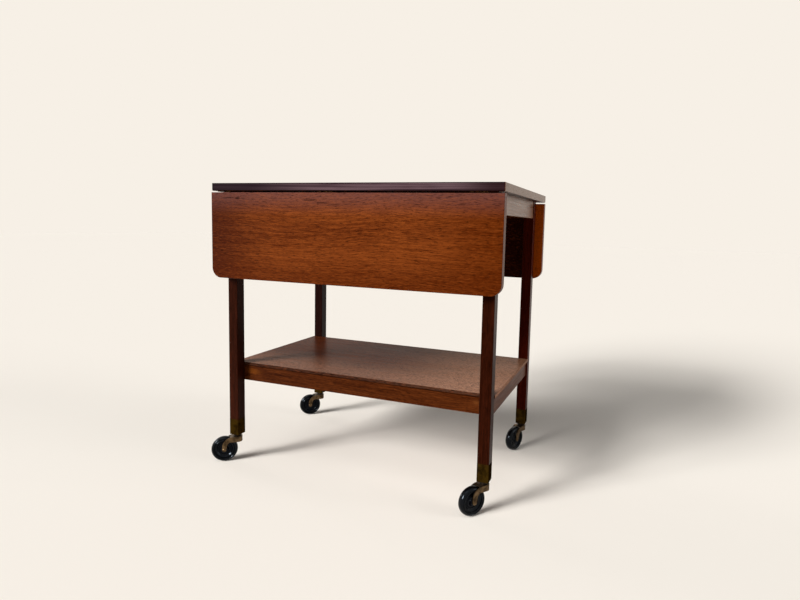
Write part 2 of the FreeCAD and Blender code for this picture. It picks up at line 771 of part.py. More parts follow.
def cup_pins():
    """Round-headed pins that hold the cups, on the two faces of each that look inwards."""
    pins = []
    height = "castor_height + cup_pin_height"
    for side in SIDES.values():
        for end in ENDS.values():
            centre_x = f"{end} * leg_centre_x"
            centre_y = f"{side} * leg_centre_y"
            face_x = f"{end} * leg_inner_x"
            face_y = f"{side} * leg_inner_y"
            along_x, away_x = ("X", "-X") if end > 0 else ("-X", "X")
            along_y, away_y = ("Y", "-Y") if side > 0 else ("-Y", "Y")
            pins.append(fuse(
                rod(face_x, centre_y, f"{height} + cup_pin_stagger", along_x, "cup_pin_length", "cup_pin_radius"),
                rod(face_x, centre_y, f"{height} + cup_pin_stagger", away_x, "cup_pin_head_height",
                    "cup_pin_head_radius")))
            pins.append(fuse(
                rod(centre_x, face_y, f"{height} - cup_pin_stagger", along_y, "cup_pin_length",
                    "cup_pin_radius"),
                rod(centre_x, face_y, f"{height} - cup_pin_stagger", away_y, "cup_pin_head_height",
                    "cup_pin_head_radius")))
    return keep(group(pins), "castor_cup_pins")


def make_races():
    """The swivel rings riveted under the cups."""
    rings = []
    for side in SIDES.values():
        for end in ENDS.values():
            at_x = f"{end} * leg_centre_x"
            at_y = f"{side} * leg_centre_y"
            ring = rod(at_x, at_y, "race_bottom", "Z", "race_height", "race_radius")
            bore = rod(at_x, at_y, f"race_bottom - {OVERSHOOT}", "Z",
                       f"race_height + {2 * OVERSHOOT}", "stem_radius + running_clearance")
            rings.append(cut(ring, bore))
    return keep(group(rings), "castor_swivel_rings")


def stand_on_leg(item, side, end, swivel):
    """Turn a castor piece to its trailing direction and stand it under its leg."""
    item.Placement = Placement(Vector(), Rotation(Vector(0, 0, 1), 1))
    bind(item, "Placement.Rotation.Angle", swivel)
    return put(item, f"{end} * leg_centre_x", f"{side} * leg_centre_y", 0)


def make_horn(body):
    """The castor fork: a round crown and two curved arms that narrow down to the axle."""
    sketch = sketch_on(body, "XZ_Plane")
    outline(sketch, [
        ("-horn_crown_radius", "crown_bottom"),
        ("castor_trail - horn_neck_reach", "crown_bottom"),
        ("castor_trail - horn_eye_radius", "wheel_radius"),
        ("castor_trail + horn_eye_radius", "wheel_radius"),
        ("castor_trail + horn_eye_radius", "crown_top"),
        ("-horn_crown_radius", "crown_top"),
    ])
    arms = pad(body, sketch, "horn_width", midplane=True)
    doc.recompute()
    half = size("horn_width") / 2
    outer_x = size("castor_trail") + size("horn_eye_radius")
    inner_x = size("castor_trail") - size("horn_neck_reach")
    back_x = -size("horn_crown_radius")
    top = size("crown_top")
    bottom = size("crown_bottom")
    outer = soften(body, arms, edges_in(arms, (outer_x, -half, top), (outer_x, half, top)),
                   "horn_outer_radius")
    inner = soften(body, outer, edges_in(outer, (inner_x, -half, bottom), (inner_x, half, bottom)),
                   "horn_inner_radius")
    back = edges_in(inner, (back_x, -half, bottom), (back_x, -half, top))
    back += edges_in(inner, (back_x, half, bottom), (back_x, half, top))
    soften(body, inner, back, "horn_crown_radius")
    eye = sketch_on(body, "XZ_Plane")
    circle(eye, "castor_trail", "wheel_radius", "horn_eye_radius")
    pad(body, eye, "horn_width", midplane=True)
    slot = sketch_on(body, "XZ_Plane")
    circle(slot, "castor_trail", "wheel_radius", "wheel_radius + wheel_clearance")
    pocket(body, slot, "slot_width", midplane=True)
    bore = sketch_on(body, "XZ_Plane")
    circle(bore, "castor_trail", "wheel_radius", "axle_radius")
    pocket(body, bore, f"horn_width + {OVERSHOOT}", midplane=True)
    seat = sketch_on(body, "XY_Plane", "stem_foot")
    circle(seat, "0", "0", "stem_radius")
    pocket(body, seat, f"stem_seat_depth + {OVERSHOOT}", reverse=True)


def make_tyre(body):
    """The rubber tyre, a ring with rounded shoulders."""
    sketch = sketch_on(body, "XZ_Plane")
    circle(sketch, "castor_trail", "wheel_radius", "wheel_radius")
    circle(sketch, "castor_trail", "wheel_radius", "rim_radius")
    ring = pad(body, sketch, "wheel_width", midplane=True)
    doc.recompute()
    shoulders = [f"Edge{index}" for index, edge in enumerate(ring.Shape.Edges, start=1)
                 if len(edge.Vertexes) == 1 and abs(edge.Curve.Radius - size("wheel_radius")) < 0.01]
    soften(body, ring, shoulders, "tyre_shoulder")


def make_wheel_centre(body):
    """The wheel's centre: a thin disc inside the tyre, with a boss that turns on the axle."""
    sketch = sketch_on(body, "XZ_Plane")
    circle(sketch, "castor_trail", "wheel_radius", "rim_radius")
    pad(body, sketch, "wheel_web_width", midplane=True)
    boss = sketch_on(body, "XZ_Plane")
    circle(boss, "castor_trail", "wheel_radius", "wheel_boss_radius")
    pad(body, boss, "boss_width", midplane=True)
    bore = sketch_on(body, "XZ_Plane")
    circle(bore, "castor_trail", "wheel_radius", "axle_radius + running_clearance")
    pocket(body, bore, f"boss_width + {OVERSHOOT}", midplane=True)


def make_castor(name, side, end):
    """One castor: fork, stem, axle, wheel centre and tyre, turned to its trailing direction."""
    swivel = f"swivel_{name}"
    for part, builder in (("castor_fork", make_horn), ("wheel_tyre", make_tyre),
                          ("wheel_centre", make_wheel_centre)):
        body = new_body("Castor")
        builder(body)
        stand_on_leg(body, side, end, swivel)
        keep(body, f"{name}_{part}")
    stem = fuse(
        rod("0", "0", "stem_foot", "Z", "stem_head_bottom + stem_head_height - stem_foot",
            "stem_radius"),
        rod("0", "0", "stem_head_bottom", "Z", "stem_head_height", "stem_head_radius"))
    keep(stand_on_leg(stem, side, end, swivel), f"{name}_castor_stem")
    half = "horn_width / 2"
    axle = fuse(
        rod("castor_trail", f"-{half}", "wheel_radius", "Y", "horn_width", "axle_radius"),
        taper("castor_trail", f"-{half}", "wheel_radius", "-Y", "axle_head_height",
              "axle_head_radius", "axle_radius"),
        taper("castor_trail", half, "wheel_radius", "Y", "axle_head_height",
              "axle_head_radius", "axle_radius"))
    keep(stand_on_leg(axle, side, end, swivel), f"{name}_wheel_axle")


def build():
    """Make every piece of the trolley."""
    fill_sheets()
    top_dowels, shelf_dowels = frame_dowels()
    pins = cup_pins()
    fixing = top_fixing_screws()
    flap_screws = hinge_top_screws()
    pivots = support_pivots()
    make_table_top(fixing, flap_screws, pivots)
    make_top_flaps(hinge_pins(), flap_screws)
    make_top_rails(top_dowels, fuse(fixing, rail_counterbores()))
    make_corner_blocks(fixing)
    make_shelf(shelf_dowels)
    make_races()
    for side_name, side in SIDES.items():
        make_leaf(side_name, side)
        for end_name, end in ENDS.items():
            name = f"{side_name}_{end_name}"
            make_leg(f"{name}_leg", side, end, (top_dowels, shelf_dowels), pins)
            make_cup(f"{name}_castor_cup", side, end, pins)
            make_support(f"{name}_leaf_support", side, end)
            make_castor(name, side, end)
    doc.recompute()


def check_and_write():
    """Stop if any object failed, then write one STEP file for each piece."""
    for item in doc.Objects:
        if "Invalid" in item.State or "Error" in item.State:
            raise RuntimeError(f"{item.Name} ({item.Label}) failed: {item.State}")
    for item in nodes:
        if item.Shape.isNull() or not item.Shape.isValid() or not item.Shape.Solids:
            raise RuntimeError(f"{item.Label} has no valid solid")
    os.makedirs("parts", exist_ok=True)
    for item in nodes:
        item.Shape.exportStep(os.path.join("parts", f"{item.Label}.step"))
    print(len(nodes), "pieces written")


build()
check_and_write()
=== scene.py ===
"""Dresses the drop leaf tea trolley: oiled teak boards, aged brass castors, hinges and a soft studio.

Every length is in metres, in the frame of the solids: +X along the long side, -Y to the front, +Z up.
"""
import json
import logging
import math
from dataclasses import dataclass, field
from enum import Enum
from typing import Any, Iterable, Sequence

import bmesh
import bpy
from mathutils import Matrix, Vector

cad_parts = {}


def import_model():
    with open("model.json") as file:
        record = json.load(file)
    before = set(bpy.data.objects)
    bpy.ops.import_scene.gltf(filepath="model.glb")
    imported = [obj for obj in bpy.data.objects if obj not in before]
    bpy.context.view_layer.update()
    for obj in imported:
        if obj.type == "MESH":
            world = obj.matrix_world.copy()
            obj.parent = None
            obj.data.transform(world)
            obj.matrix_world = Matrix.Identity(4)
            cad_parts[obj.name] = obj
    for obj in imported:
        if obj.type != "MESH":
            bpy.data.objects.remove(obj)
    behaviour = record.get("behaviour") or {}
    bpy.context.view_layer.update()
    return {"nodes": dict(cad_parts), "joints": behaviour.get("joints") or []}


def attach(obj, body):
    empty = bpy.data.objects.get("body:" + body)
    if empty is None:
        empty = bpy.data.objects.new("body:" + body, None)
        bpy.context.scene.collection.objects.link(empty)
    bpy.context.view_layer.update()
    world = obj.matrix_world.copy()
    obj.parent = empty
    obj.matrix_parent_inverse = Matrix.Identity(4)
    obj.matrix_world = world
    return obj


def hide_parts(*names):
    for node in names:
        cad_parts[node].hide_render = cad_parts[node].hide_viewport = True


LOG = logging.getLogger("tea_trolley")
Colour = tuple[float, float, float]
Triple = tuple[float, float, float]
Profile = Sequence[tuple[float, float]]
MM = 0.001
UNMOVED: Triple = (0.0, 0.0, 0.0)
# How far a colour takes to change at a board's plane face.
PLANE_BLEND = 0.4 * MM
# Vertices that are closer than this become one.
SAME_VERTEX = 0.001 * MM
# Edges that turn by more than this stay sharp.
SHARP_DEGREES = 32
# An axis is nearly upright when its height per length is above this.
NEARLY_UPRIGHT = 0.9


def linear(value: int) -> float:
    """Turn one channel of a colour into linear light.

    Args:
        value: The channel, from 0 to 255.

    Returns:
        The channel in linear light, from 0 to 1.
    """
    part = value / 255
    return part / 12.92 if part <= 0.04045 else ((part + 0.055) / 1.055) ** 2.4


def srgb(red: int, green: int, blue: int) -> Colour:
    """Turn a colour of 0 to 255 per channel into linear light.

    Args:
        red: The red channel.
        green: The green channel.
        blue: The blue channel.

    Returns:
        The colour in linear light.
    """
    return linear(red), linear(green), linear(blue)


def grey(level: float) -> Colour:
    """A neutral colour of one level.

    Args:
        level: The level in linear light.

    Returns:
        The colour.
    """
    return level, level, level


class Axis(Enum):
    """The trolley's axes: along its long side, from its front to its rear, and up."""

    LENGTH = 0
    DEPTH = 1
    HEIGHT = 2


class Side(Enum):
    """Which end of an axis a part of a board lies at."""

    HIGH = 1
    LOW = -1
    BOTH = 0


class Corner(Enum):
    """The four corners of the trolley."""

    FRONT_LEFT = "front_left"
    FRONT_RIGHT = "front_right"
    REAR_LEFT = "rear_left"
    REAR_RIGHT = "rear_right"


class ShaderGraph:
    """The node tree of one material, with short calls to add and join its nodes."""

    def __init__(self, name: str) -> None:
        """Start a material with a principled shader.

        Args:
            name: The material's name.
        """
        self.material = bpy.data.materials.new(name)
        self.material.use_nodes = True
        self.tree = self.material.node_tree
        self.tree.nodes.clear()
        self.output = self.tree.nodes.new("ShaderNodeOutputMaterial")
        self.shader = self.tree.nodes.new("ShaderNodeBsdfPrincipled")
        self.join(self.shader.outputs["BSDF"], self.output.inputs["Surface"])
        self.plain = self.tree.nodes.new("ShaderNodeTexCoord").outputs["Object"]
        self.place = self.plain

    def join(self, source: Any, target: Any) -> None:
        """Join an output to an input.

        Args:
            source: The output.
            target: The input.
        """
        self.tree.links.new(source, target)

    def feed(self, target: Any, value: Any) -> None:
        """Give an input a link, a colour or a number.

        Args:
            target: The input.
            value: An output to link, or a value to set.
        """
        if isinstance(value, bpy.types.NodeSocket):
            self.join(value, target)
        elif isinstance(value, tuple) and len(value) == 3 and target.type == "RGBA":
            target.default_value = (*value, 1.0)
        else:
            target.default_value = value

    def set(self, **values: Any) -> None:
        """Set inputs of the principled shader.

        Args:
            **values: What each input gets, with underscores for the spaces in its name.
        """
        for name, value in values.items():
            self.feed(self.shader.inputs[name.replace("_", " ")], value)

    def stretch(self, scale: Triple, shift: Triple = UNMOVED, turn: Triple = UNMOVED) -> Any:
        """Object coordinates, scaled for a pattern that is longer one way than the other.

        Args:
            scale: The scale on each axis, per metre.
            shift: How far the pattern is moved.
            turn: How far the pattern is turned, in radians.

        Returns:
            The scaled coordinates.
        """
        node = self.tree.nodes.new("ShaderNodeMapping")
        self.join(self.place, node.inputs["Vector"])
        node.inputs["Location"].default_value = shift
        node.inputs["Rotation"].default_value = turn
        node.inputs["Scale"].default_value = scale
        return node.outputs["Vector"]

    def noise(self, place: Any, detail: float, roughness: float = 0.5, distortion: float = 0.0) -> Any:
        """A noise pattern.

        Args:
            place: The coordinates it is read at.
            detail: How many octaves it has.
            roughness: How strong the fine octaves are.
            distortion: How much it is warped.

        Returns:
            Its value, from 0 to 1.
        """
        node = self.tree.nodes.new("ShaderNodeTexNoise")
        self.join(place, node.inputs["Vector"])
        node.inputs["Scale"].default_value = 1.0
        node.inputs["Detail"].default_value = detail
        node.inputs["Roughness"].default_value = roughness
        node.inputs["Distortion"].default_value = distortion
        return node.outputs["Fac"]

    def ramp(self, value: Any, stops: Sequence[tuple[float, Colour]]) -> Any:
        """A colour ramp.

        Args:
            value: What it reads, from 0 to 1.
            stops: Places and colours along it.

        Returns:
            Its colour.
        """
        node = self.tree.nodes.new("ShaderNodeValToRGB")
        while len(node.color_ramp.elements) < len(stops):
            node.color_ramp.elements.new(0.5)
        for element, (place, colour) in zip(node.color_ramp.elements, stops):
            element.position = place
            element.color = (*colour, 1.0)
        self.join(value, node.inputs["Fac"])
        return node.outputs["Color"]

    def remap(self, value: Any, low: float, high: float, first: float = 0.0,
              last: float = 1.0) -> Any:
        """Bring a value from one range to another, smoothly and clamped.

        Args:
            value: What is brought over.
            low: The lower end of the range it is read in.
            high: The upper end of that range.
            first: What the lower end becomes.
            last: What the upper end becomes.

        Returns:
            The new value.
        """
        node = self.tree.nodes.new("ShaderNodeMapRange")
        node.interpolation_type = "SMOOTHSTEP"
        self.join(value, node.inputs["Value"])
        node.inputs["From Min"].default_value = low
        node.inputs["From Max"].default_value = high
        node.inputs["To Min"].default_value = first
        node.inputs["To Max"].default_value = last
        return node.outputs["Result"]

    def maths(self, operation: str, first: Any, second: Any = 0.0) -> Any:
        """Work out one step of arithmetic.

        Args:
            operation: Blender's name for the step.
            first: The first value or link.
            second: The second value or link.

        Returns:
            The result.
        """
        node = self.tree.nodes.new("ShaderNodeMath")
        node.operation = operation
        self.feed(node.inputs[0], first)
        self.feed(node.inputs[1], second)
        return node.outputs["Value"]

    def mix(self, share: Any, first: Any, second: Any) -> Any:
        """Mix two colours.

        Args:
            share: The share of the second colour.
            first: The first colour.
            second: The second colour.

        Returns:
            The mixed colour.
        """
        node = self.tree.nodes.new("ShaderNodeMix")
        node.data_type = "RGBA"
        self.feed(node.inputs["Factor"], share)
        self.feed(node.inputs["A"], first)
        self.feed(node.inputs["B"], second)
        return node.outputs[2]

    def coordinate(self, axis: Axis) -> Any:
        """One object coordinate.

        Args:
            axis: The axis it is read on.

        Returns:
            The coordinate, in metres.
        """
        node = self.tree.nodes.new("ShaderNodeSeparateXYZ")
        self.join(self.plain, node.inputs["Vector"])
        return node.outputs[axis.value]

    def length(self, place: Any) -> Any:
        """How far coordinates are from their origin.

        Args:
            place: The coordinates.

        Returns:
            The distance.
        """
        node = self.tree.nodes.new("ShaderNodeVectorMath")
        node.operation = "LENGTH"
        self.join(place, node.inputs[0])
        return node.outputs["Value"]

    def warped(self, scale: float, amount: float) -> Any:
        """Object coordinates that wander gently, so that straight lines drawn on them wave.

        Args:
            scale: How many waves there are per metre.
            amount: How far they wander, in metres.

        Returns:
            The wandering coordinates.
        """
        noise = self.tree.nodes.new("ShaderNodeTexNoise")
        self.join(self.plain, noise.inputs["Vector"])
        noise.inputs["Scale"].default_value = scale
        noise.inputs["Detail"].default_value = 2.0
        moved = self.tree.nodes.new("ShaderNodeVectorMath")
        moved.operation = "MULTIPLY_ADD"
        self.join(noise.outputs["Color"], moved.inputs[0])
        moved.inputs[1].default_value = (amount, amount, amount)
        self.join(self.plain, moved.inputs[2])
        return moved.outputs["Vector"]

    def bump(self, height: Any, strength: float, distance: float) -> None:
        """Raise the surface by a pattern.

        Args:
            height: The pattern.
            strength: How strongly it shows.
            distance: How high it stands, in metres.
        """
        node = self.tree.nodes.new("ShaderNodeBump")
        self.join(height, node.inputs["Height"])
        node.inputs["Strength"].default_value = strength
        node.inputs["Distance"].default_value = distance
        self.join(node.outputs["Normal"], self.shader.inputs["Normal"])


@dataclass(frozen=True)
class Pattern:
    """A noise pattern with one scale along an axis and another across it.

    Attributes:
        along: Its scale along the axis, per metre.
        across: Its scale on the other two axes, per metre.
        detail: How many octaves it has.
        roughness: How strong the fine octaves are.
        distortion: How much it is warped.
    """

    along: float
    across: float
    detail: float
    roughness: float = 0.5
    distortion: float = 0.0

    def read(self, graph: ShaderGraph, axis: Axis = Axis.HEIGHT, shift: Triple = UNMOVED,
             turn: Triple = UNMOVED) -> Any:
        """Read the pattern on a piece.

        Args:
            graph: The material's nodes.
            axis: The axis that it runs along.
            shift: How far it is moved.
            turn: How far it is turned, in radians.

        Returns:
            Its value, from 0 to 1.
        """
        scale = tuple(self.along if number == axis.value else self.across for number in range(3))
        return graph.noise(graph.stretch(scale, shift, turn), self.detail, self.roughness, self.distortion)


@dataclass(frozen=True)
class Mark:
    """Where a pattern turns into marks, and how strongly they show.

    Attributes:
        start: The pattern's value where the marks start.
        full: The value from which they show in full.
        share: How strongly they then show.
    """

    start: float
    full: float
    share: float

    def cover(self, graph: ShaderGraph, pattern: Any, contrast: float = 1.0) -> Any:
        """How much the marks cover.

        Args:
            graph: The material's nodes.
            pattern: The pattern's value.
            contrast: How strongly the piece shows its marks.

        Returns:
            The cover, from 0 to the marks' share.
        """
        return graph.remap(pattern, self.start, self.full, 0.0, self.share * contrast)


# Teak: how its figure wanders, then its patterns from the broadest to the finest.
FIGURE_WAVES = 2.2
FIGURE_WANDER = 36.0 * MM
BROAD_FIGURE = Pattern(1.3, 16.0, 2.0, 0.5, 0.3)
GROWTH_LINES = Pattern(3.5, 230.0, 3.0, 0.6)
FINE_LINES = Pattern(20.0, 600.0, 2.0, 0.6)
TICKS = Pattern(85.0, 900.0, 2.0, 0.6)
PORES = Pattern(150.0, 1500.0, 1.0)
BROAD_SHARE, GROWTH_SHARE, FINE_SHARE = 0.24, 0.28, 0.48
FIGURE_STOPS = (0.38, 0.50, 0.62)
# How bright a dark tick is for the wood's dark figure, and a speck for the metal's tarnish.
DEEP_SHARE, SPECK_SHARE = 0.25, 0.4
DARK_TICK = Mark(0.54, 0.66, 0.7)
PALE_TICK = Mark(0.46, 0.34, 0.4)
OPEN_PORE = Mark(0.60, 0.74, 0.5)
# The fringe of a knot, and the patterns of the other finishes.
KNOT_FRINGE = Pattern(300.0, 300.0, 2.0)
SAWN_LINES = Pattern(260.0, 20.0, 3.0, 0.6, 0.4)
TARNISH_PATCHES = Pattern(90.0, 90.0, 5.0, 0.6, 0.3)
METAL_SPECKS = Pattern(900.0, 900.0, 2.0)
METAL_SPECK = Mark(0.62, 0.75, 0.5)
METAL_SCRATCHES = Pattern(2600.0, 160.0, 2.0)
DUST_PATCHES = Pattern(60.0, 60.0, 5.0, 0.65)
DUST_RANGE = (0.45, 0.8)
RUBBER_SCUFFS = Pattern(700.0, 700.0, 3.0, 0.6)


@dataclass(frozen=True)
class Zone:
    """A part of a board past a plane across one axis, where its colour shades into another.

    Attributes:
        axis: The axis that the plane stands across.
        side: The end of the axis that it lies at.
        past: How far out towards that end the plane is, in metres from the origin.
        blend: How far the colour takes to change, in metres.
        colour: The colour past the plane.
        share: How much of that colour there is.
        within: A zone that it stays within.
    """

    axis: Axis
    side: Side
    past: float
    blend: float
    colour: Colour
    share: float = 1.0
    within: "Zone | None" = None

    def cover(self, graph: ShaderGraph) -> Any:
        """How much the zone covers, from 0 to its share.

        Args:
            graph: The material's nodes.

        Returns:
            The cover.
        """
        across = graph.coordinate(self.axis)
        if self.side is Side.BOTH:
            reach = graph.maths("ABSOLUTE", across)
        else:
            reach = graph.maths("MULTIPLY", across, float(self.side.value))
        cover = graph.remap(reach, self.past - self.blend, self.past, 0.0, self.share)
        return graph.maths("MULTIPLY", cover, self.within.cover(graph)) if self.within else cover


@dataclass(frozen=True)
class Knot:
    """A small dark knot or streak in a board, with a ragged fringe.

    Attributes:
        place: Its middle, in metres.
        reach: Half its size on each axis, in metres.
        colour: Its colour.
        share: How strongly it shows.
    """

    place: Triple
    reach: Triple
    colour: Colour
    share: float

    def cover(self, graph: ShaderGraph) -> Any:
        """How much the knot covers, from 0 to its share.

        Args:
            graph: The material's nodes.

        Returns:
            The cover.
        """
        scale = tuple(1.0 / part for part in self.reach)
        away = graph.length(graph.stretch(scale, tuple(-at * by for at, by in zip(self.place, scale))))
        ragged = graph.maths("MULTIPLY", KNOT_FRINGE.read(graph), 0.8)
        return graph.remap(graph.maths("ADD", away, ragged), 1.4, 0.5, 0.0, self.share)


@dataclass(frozen=True)
class EdgeBand:
    """The stained long edges of the fixed top: lengthwise streaks between two arrises darkened with painted
    shade.

    Attributes:
        past: How far from the middle, front or rear, the band shows in full, in metres.
        low: The height of the faces' lower arris, in metres.
        high: The height of their upper arris, in metres.
        dark: The colour of the dark streaks.
        pale: The colour of the pale streaks.
        arris: The colour of the arrises, painted shade.
        shades: Parts that shade into another colour, some of them painted shade.
        arris_start: How far below the upper arris its colour starts, in metres.
        arris_full: How far below it the colour is full, in metres.
        foot_start: How far above the lower arris its colour starts, in metres.
        foot_full: How far above it the colour is full, in metres.
        streak_scale: The scale of the streaks on each axis, per metre.
        patch_scale: The scale of the patches on each axis, per metre.
    """

    past: float
    low: float
    high: float
    dark: Colour
    pale: Colour
    arris: Colour
    shades: tuple[Zone, ...] = ()
    arris_start: float = 2.6 * MM
    arris_full: float = 1.0 * MM
    foot_start: float = 2.8 * MM
    foot_full: float = 1.2 * MM
    streak_scale: Triple = (3.0, 1.0, 420.0)
    patch_scale: Triple = (7.0, 1.0, 30.0)

    def cover(self, graph: ShaderGraph) -> Any:
        """Where the band lies.

        Args:
            graph: The material's nodes.

        Returns:
            The cover, from 0 to 1.
        """
        reach = graph.maths("ABSOLUTE", graph.coordinate(Axis.DEPTH))
        return graph.remap(reach, self.past - PLANE_BLEND, self.past)

    def colour(self, graph: ShaderGraph, board: Any) -> Any:
        """Lay the band over a board's colour.

        Args:
            graph: The material's nodes.
            board: The board's colour.

        Returns:
            The colour with the band.
        """
        streaks = graph.noise(graph.stretch(self.streak_scale, (1.7, 0.0, 0.3)), 3.0, 0.55, 0.3)
        patches = graph.noise(graph.stretch(self.patch_scale, (0.4, 0.0, 0.9)), 2.0)
        mixed = graph.maths("ADD", graph.maths("MULTIPLY", streaks, 0.6),
                            graph.maths("MULTIPLY", patches, 0.4))
        band = graph.mix(graph.remap(mixed, 0.38, 0.62), self.dark, self.pale)
        for shade in self.shades:
            band = graph.mix(shade.cover(graph), band, shade.colour)
        height = graph.coordinate(Axis.HEIGHT)
        # Painted shade on the upper and lower arrises.
        near_top = graph.remap(height, self.high - self.arris_start, self.high - self.arris_full)
        near_foot = graph.remap(height, self.low + self.foot_start, self.low + self.foot_full)
        band = graph.mix(graph.maths("MAXIMUM", near_top, near_foot), band, self.arris)
        return graph.mix(self.cover(graph), board, band)


@dataclass(frozen=True)
class TeakFinish:
    """Oiled teak, with wavy figure, growth lines, short open pores and a satin sheen.

    Attributes:
        name: The material's name.
        grain: The axis that the grain runs along.
        dark: The colour of the darkest figure.
        middle: The usual colour.
        light: The colour of the palest figure.
        shift: Where in the pattern the board is cut from.
        tilt: How far the grain leans off its axis, in radians.
        contrast: How strongly the lines and pores show.
        sheen: The strength of the surface's reflection.
        facing: The share of that reflection that is left where the surface is seen square on.
        roughness: How blurred the reflection is.
        zones: Parts of the board that shade into another colour, some of them painted shade, light and sheen.
        knots: Small dark marks.
        band: The stained long edges, if it has them.
    """

    name: str
    grain: Axis
    dark: Colour
    middle: Colour
    light: Colour
    shift: Triple = UNMOVED
    tilt: float = 0.0
    contrast: float = 1.0
    sheen: float = 0.12
    facing: float = 0.0
    roughness: float = 0.34
    zones: tuple[Zone, ...] = ()
    knots: tuple[Knot, ...] = ()
    band: EdgeBand | None = None

    def _read(self, graph: ShaderGraph, pattern: Pattern) -> Any:
        """Read a pattern along the board's grain.

        Args:
            graph: The material's nodes.
            pattern: The pattern.

        Returns:
            Its value, from 0 to 1.
        """
        return pattern.read(graph, self.grain, self.shift, (0.0, self.tilt, 0.0))

    def _figure(self, graph: ShaderGraph, broad: Any, lines: Any, fine: Any) -> Any:
        """Blend the wide and the narrow patterns into the board's figure.

        Args:
            graph: The material's nodes.
            broad: The broad figure.
            lines: The growth lines.
            fine: The fine lines.

        Returns:
            The board's colour, before its zones and marks.
        """
        narrow = graph.maths("ADD", graph.maths("MULTIPLY", lines, GROWTH_SHARE),
                             graph.maths("MULTIPLY", fine, FINE_SHARE))
        figure = graph.maths("ADD", graph.maths("MULTIPLY", broad, BROAD_SHARE), narrow)
        return graph.ramp(figure, list(zip(FIGURE_STOPS, (self.dark, self.middle, self.light))))

    def material(self) -> bpy.types.Material:
        """Make the finish.

        Returns:
            The material.
        """
        graph = ShaderGraph(self.name)
        graph.place = graph.warped(FIGURE_WAVES, FIGURE_WANDER)
        broad, lines, fine, ticks, pores = (
            self._read(graph, pattern) for pattern in (BROAD_FIGURE, GROWTH_LINES, FINE_LINES, TICKS, PORES))
        graph.place = graph.plain
        colour = self._figure(graph, broad, lines, fine)
        for zone in self.zones:
            colour = graph.mix(zone.cover(graph), colour, zone.colour)
        deep = tuple(part * DEEP_SHARE for part in self.dark)
        open_ticks = DARK_TICK.cover(graph, ticks, self.contrast)
        colour = graph.mix(open_ticks, colour, deep)
        colour = graph.mix(PALE_TICK.cover(graph, ticks, self.contrast), colour, self.light)
        colour = graph.mix(OPEN_PORE.cover(graph, pores, self.contrast), colour, deep)
        for knot in self.knots:
            colour = graph.mix(knot.cover(graph), colour, knot.colour)
        if self.band:
            colour = self.band.colour(graph, colour)
        graph.set(Base_Color=colour,
                  Roughness=graph.remap(lines, 0.3, 0.7, self.roughness - 0.04, self.roughness + 0.08),
                  Specular_IOR_Level=self.sheen, Specular_Tint=grey(self.facing))
        graph.bump(graph.maths("SUBTRACT", lines, open_ticks), 0.12, 0.0002)
        return graph.material


@dataclass(frozen=True)
class RawWoodFinish:
    """Raw sawn hardwood of the hidden blocks and dowels.

    Attributes:
        name: The material's name.
        pale: The colour between the lines.
        dark: The colour of the lines.
    """

    name: str
    pale: Colour
    dark: Colour

    def material(self) -> bpy.types.Material:
        """Make the finish.

        Returns:
            The material.
        """
        graph = ShaderGraph(self.name)
        lines = SAWN_LINES.read(graph)
        graph.set(Base_Color=graph.ramp(lines, [(0.3, self.dark), (0.7, self.pale)]),
                  Roughness=graph.remap(lines, 0.2, 0.8, 0.55, 0.75), Specular_IOR_Level=0.3)
        graph.bump(lines, 0.2, 0.0003)
        return graph.material


@dataclass(frozen=True)
class MetalFinish:
    """Aged metal: a worn colour under patches of tarnish, with fine scratches.

    Attributes:
        name: The material's name.
        bright: The colour of the worn metal.
        tarnish: The colour of the patches.
        age: How much of it is tarnished, from 0 to 1.
        roughness: How blurred its reflection is.
        metallic: How metallic it is, from 0 to 1.
        edge: The tint of what it reflects at a grazing angle.
    """

    name: str
    bright: Colour
    tarnish: Colour
    age: float
    roughness: float
    metallic: float = 1.0
    edge: Colour = (1.0, 1.0, 1.0)

    def material(self) -> bpy.types.Material:
        """Make the finish.

        Returns:
            The material.
        """
        graph = ShaderGraph(self.name)
        patches, specks, scratches = (
            pattern.read(graph) for pattern in (TARNISH_PATCHES, METAL_SPECKS, METAL_SCRATCHES))
        aged = graph.remap(patches, 0.55 - 0.3 * self.age, 0.85 - 0.3 * self.age)
        colour = graph.mix(aged, self.bright, self.tarnish)
        colour = graph.mix(METAL_SPECK.cover(graph, specks), colour,
                           tuple(part * SPECK_SHARE for part in self.tarnish))
        rough = graph.maths("ADD", graph.remap(patches, 0.3, 0.7, self.roughness, self.roughness + 0.18),
                            graph.remap(scratches, 0.4, 0.6, -0.04, 0.04))
        graph.set(Base_Color=colour, Roughness=rough, Metallic=self.metallic, Specular_Tint=self.edge)
        graph.bump(scratches, 0.06, 0.0001)
        return graph.material


@dataclass(frozen=True)
class RubberFinish:
    """Hard black rubber or moulded plastic with dust and fine scuffs.

    Attributes:
        name: The material's name.
        base: Its clean colour.
        dust: The colour of the dust.
        roughness: How blurred its reflection is.
        dusting: How much dust lies where it is thickest, from 0 to 1.
        sheen: The strength of the surface's reflection.
        cast: The tint of that reflection.
    """

    name: str
    base: Colour
    dust: Colour
    roughness: float
    dusting: float
    sheen: float = 0.15
    cast: Colour = (0.75, 0.87, 1.0)

    def material(self) -> bpy.types.Material:
        """Make the finish.

        Returns:
            The material.
        """
        graph = ShaderGraph(self.name)
        dusty, scuffs = DUST_PATCHES.read(graph), RUBBER_SCUFFS.read(graph)
        share = graph.remap(dusty, *DUST_RANGE, 0.0, self.dusting)
        graph.set(Base_Color=graph.mix(share, self.base, self.dust),
                  Roughness=graph.remap(scuffs, 0.3, 0.7, self.roughness, self.roughness + 0.1),
                  Specular_IOR_Level=self.sheen, Specular_Tint=self.cast)
        graph.bump(scuffs, 0.08, 0.0001)
        return graph.material


Finish = TeakFinish | RawWoodFinish | MetalFinish | RubberFinish


